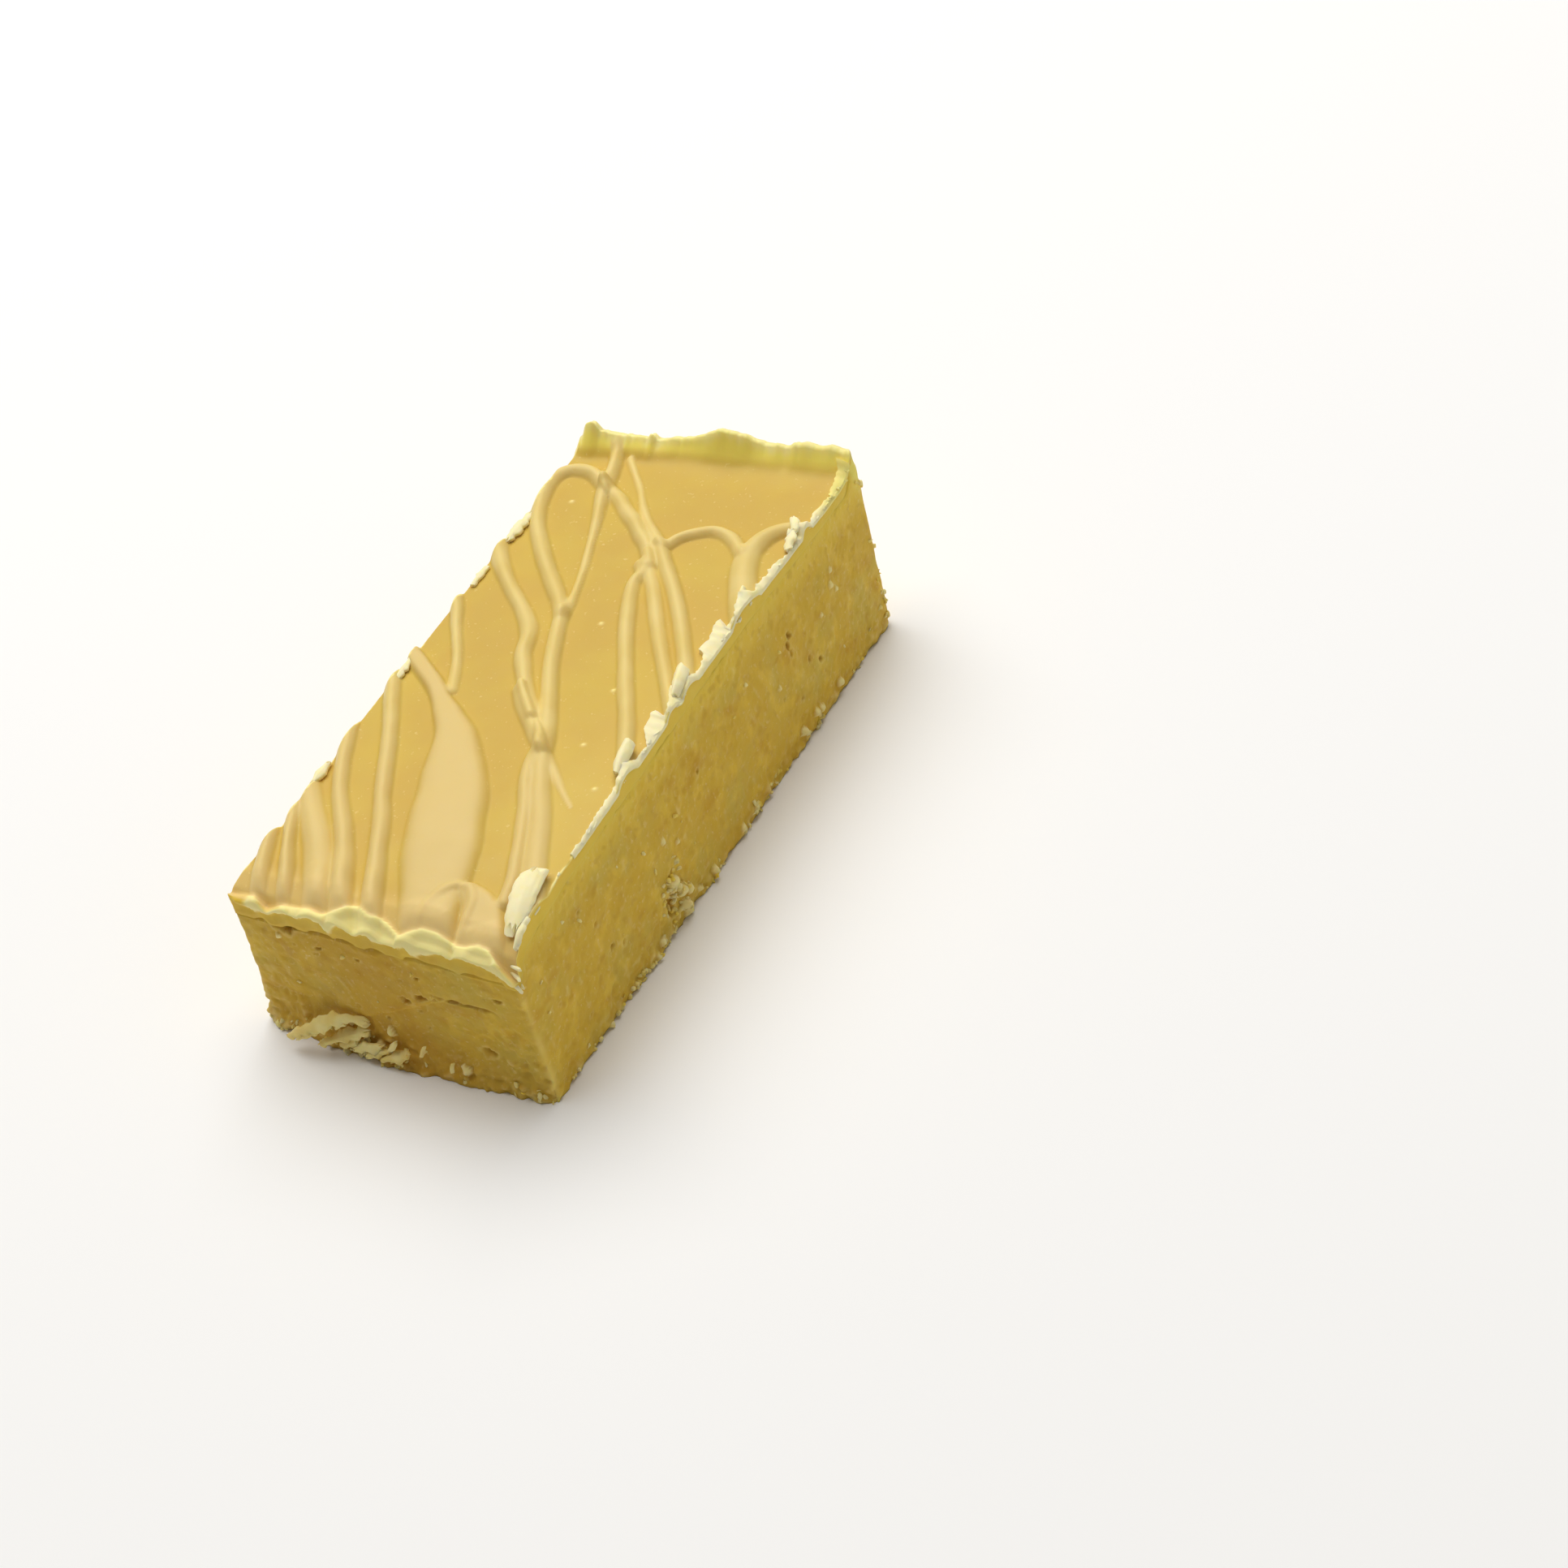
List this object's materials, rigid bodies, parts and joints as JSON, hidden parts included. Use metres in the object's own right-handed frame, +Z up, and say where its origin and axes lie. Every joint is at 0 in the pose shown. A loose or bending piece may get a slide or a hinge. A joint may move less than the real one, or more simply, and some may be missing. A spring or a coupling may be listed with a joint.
{
  "type": "lemon fudge bar",
  "caption": "Thick oblong bar of soft set sweet with three knife-cut sides, a raised lip at one end, and a thin poured topping crossed by raised drizzle lines.",
  "frame": {"origin": "middle of the bounding box at the level of the face that the bar rests on", "axes": "+Z up out of the drizzled top, +Y along the bar towards the lip at its tray end, +X across the bar to the right-hand cut"},
  "size_m": [0.048, 0.1016, 0.0324],
  "materials": {
    "fudge": "stands in for dense pale yellow fudge, soft and slightly grainy where cut",
    "topping": "stands in for a thin set topping with a smooth golden tan skin, cream where it is cut"
  },
  "bodies": {
    "root": {"fudge": "fudge", "topping": "topping"}
  },
  "joints": []
}
